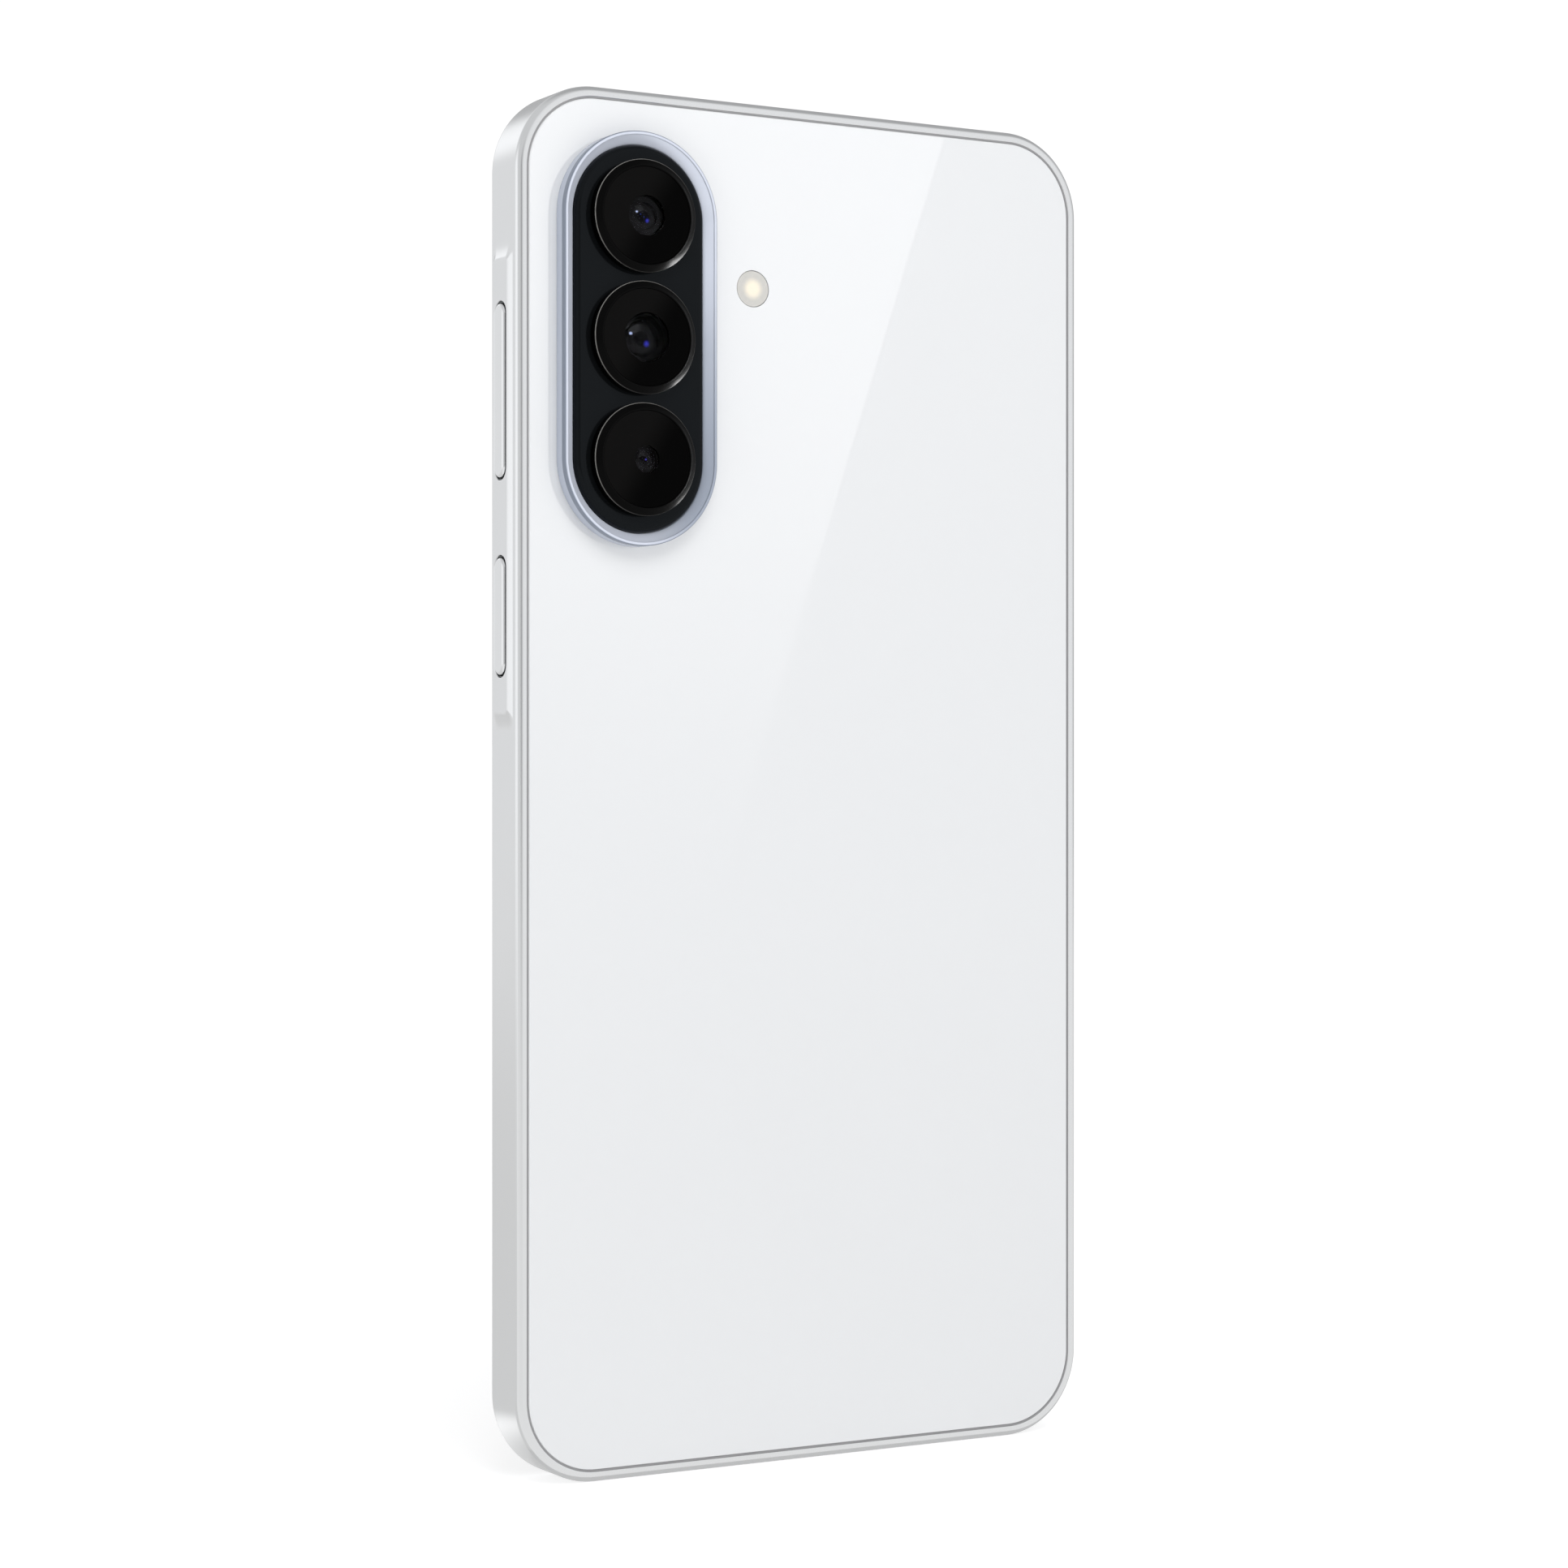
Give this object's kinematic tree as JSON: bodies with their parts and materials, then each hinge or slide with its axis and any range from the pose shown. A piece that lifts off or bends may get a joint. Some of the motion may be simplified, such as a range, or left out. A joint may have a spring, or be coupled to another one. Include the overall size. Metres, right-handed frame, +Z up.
{
  "type": "smartphone",
  "caption": "Slab smartphone with a flat frame, gloss back, raised pill camera bump with round lenses, side keys on a raised pad and a charging port.",
  "frame": {"origin": "centre of the bottom edge, in the mouth of the charging port, midway through the body's thickness", "axes": "+Z up the phone from the port to the top edge, +X towards the side with the keys, -Y out of the screen, +Y out of the back with the cameras"},
  "size_m": [0.0789, 0.0109, 0.1629],
  "materials": {
    "frame_satin": "satin white-silver coat",
    "plate_alloy": "brushed",
    "screen_glass": "gloss black behind clear glass",
    "panel_film": "thin glass laminate under a matt black film",
    "adhesive": "matt black foam tape",
    "back_gloss": "gloss white glass",
    "bezel_satin": "polished blue-silver",
    "window_gloss": "gloss black glass",
    "trim_dark": "gloss black anodised",
    "lens_glass": "coated clear glass",
    "module_black": "matt black",
    "sheet_steel": "bright stamped sheet",
    "foam": "matt foam",
    "flash_diffuser": "moulded clear diffuser over warm phosphor",
    "flash_phosphor": "yellow phosphor",
    "key_satin": "satin white-silver coat",
    "flex_film": "amber film",
    "seal_rubber": "matt",
    "board": "green solder mask",
    "mesh": "dark woven mesh",
    "battery_pouch": "aluminium laminate pouch in a black wrap",
    "adhesive_white": "white pull tape",
    "chip": "matt black",
    "cable": "matt black jacket",
    "tungsten": "dark heavy alloy",
    "cover_plastic": "matt black moulding",
    "coil_copper": "printed copper",
    "screw_steel": "plated steel"
  },
  "bodies": {
    "phone_body": {"frame": "frame_satin", "mid_plate": "plate_alloy", "cover_glass": "screen_glass", "display_panel": "panel_film", "display_adhesive": "adhesive", "back_panel": "back_gloss", "back_adhesive": "adhesive", "camera_bezel": "bezel_satin", "camera_window": "window_gloss", "trim_upper": "trim_dark", "trim_middle": "trim_dark", "trim_lower": "trim_dark", "lens_glass_upper": "lens_glass", "lens_glass_middle": "lens_glass", "lens_glass_lower": "lens_glass", "main_camera": "module_black", "ultrawide_camera": "module_black", "macro_camera": "module_black", "camera_bracket": "sheet_steel", "camera_foam": "foam", "flash_lens": "flash_diffuser", "flash_led": "flash_phosphor", "flash_holder": "module_black", "key_domes": "sheet_steel", "key_flex": "flex_film", "key_bracket": "sheet_steel", "sim_reader": "sheet_steel", "port_shell": "sheet_steel", "port_tongue": "module_black", "port_seal": "seal_rubber", "sub_board": "board", "speaker_box": "module_black", "speaker_mesh": "mesh", "earpiece": "module_black", "earpiece_mesh": "mesh", "front_camera": "module_black", "battery": "battery_pouch", "battery_tape": "adhesive_white", "battery_lead": "flex_film", "main_board": "board", "front_shield": "sheet_steel", "rear_shield": "sheet_steel", "processor": "chip", "board_connectors": "chip", "main_flex": "flex_film", "display_flex": "flex_film", "coax_cable": "cable", "fingerprint_sensor": "chip", "vibration_case": "sheet_steel", "top_cover": "cover_plastic", "bottom_cover": "cover_plastic", "nfc_coil": "coil_copper", "microphones": "coil_copper", "screws": "screw_steel"},
    "power_key": {"power_key": "key_satin"},
    "volume_key": {"volume_key": "key_satin"},
    "sim_tray": {"sim_tray": "key_satin", "sim_tray_seal": "seal_rubber"},
    "main_lens": {"main_camera_lens": "module_black"},
    "vibration_mass": {"vibration_mass": "tungsten"}
  },
  "joints": [
    {"name": "power_key_press", "type": "slide", "parent": "phone_body", "child": "power_key", "axis": [-1, 0, 0], "range_m": [0, 0.0002], "stiffness_N_per_m": 8000},
    {"name": "volume_key_rock", "type": "hinge", "parent": "phone_body", "child": "volume_key", "pos_m": [0.0385, 0, 0.1271], "axis": [0, 1, 0], "range_deg": [-1.1, 1.1], "stiffness_Nm_per_rad": 0.8},
    {"name": "sim_tray_slide", "type": "slide", "parent": "phone_body", "child": "sim_tray", "axis": [-1, 0, 0], "range_m": [0, 0.022]},
    {"name": "main_lens_focus", "type": "slide", "parent": "phone_body", "child": "main_lens", "axis": [0, 1, 0], "range_m": [0, 0.0003], "stiffness_N_per_m": 120},
    {"name": "vibration_mass_shake", "type": "slide", "parent": "phone_body", "child": "vibration_mass", "axis": [0, 1, 0], "range_m": [-0.0004, 0.0004], "stiffness_N_per_m": 900}
  ]
}
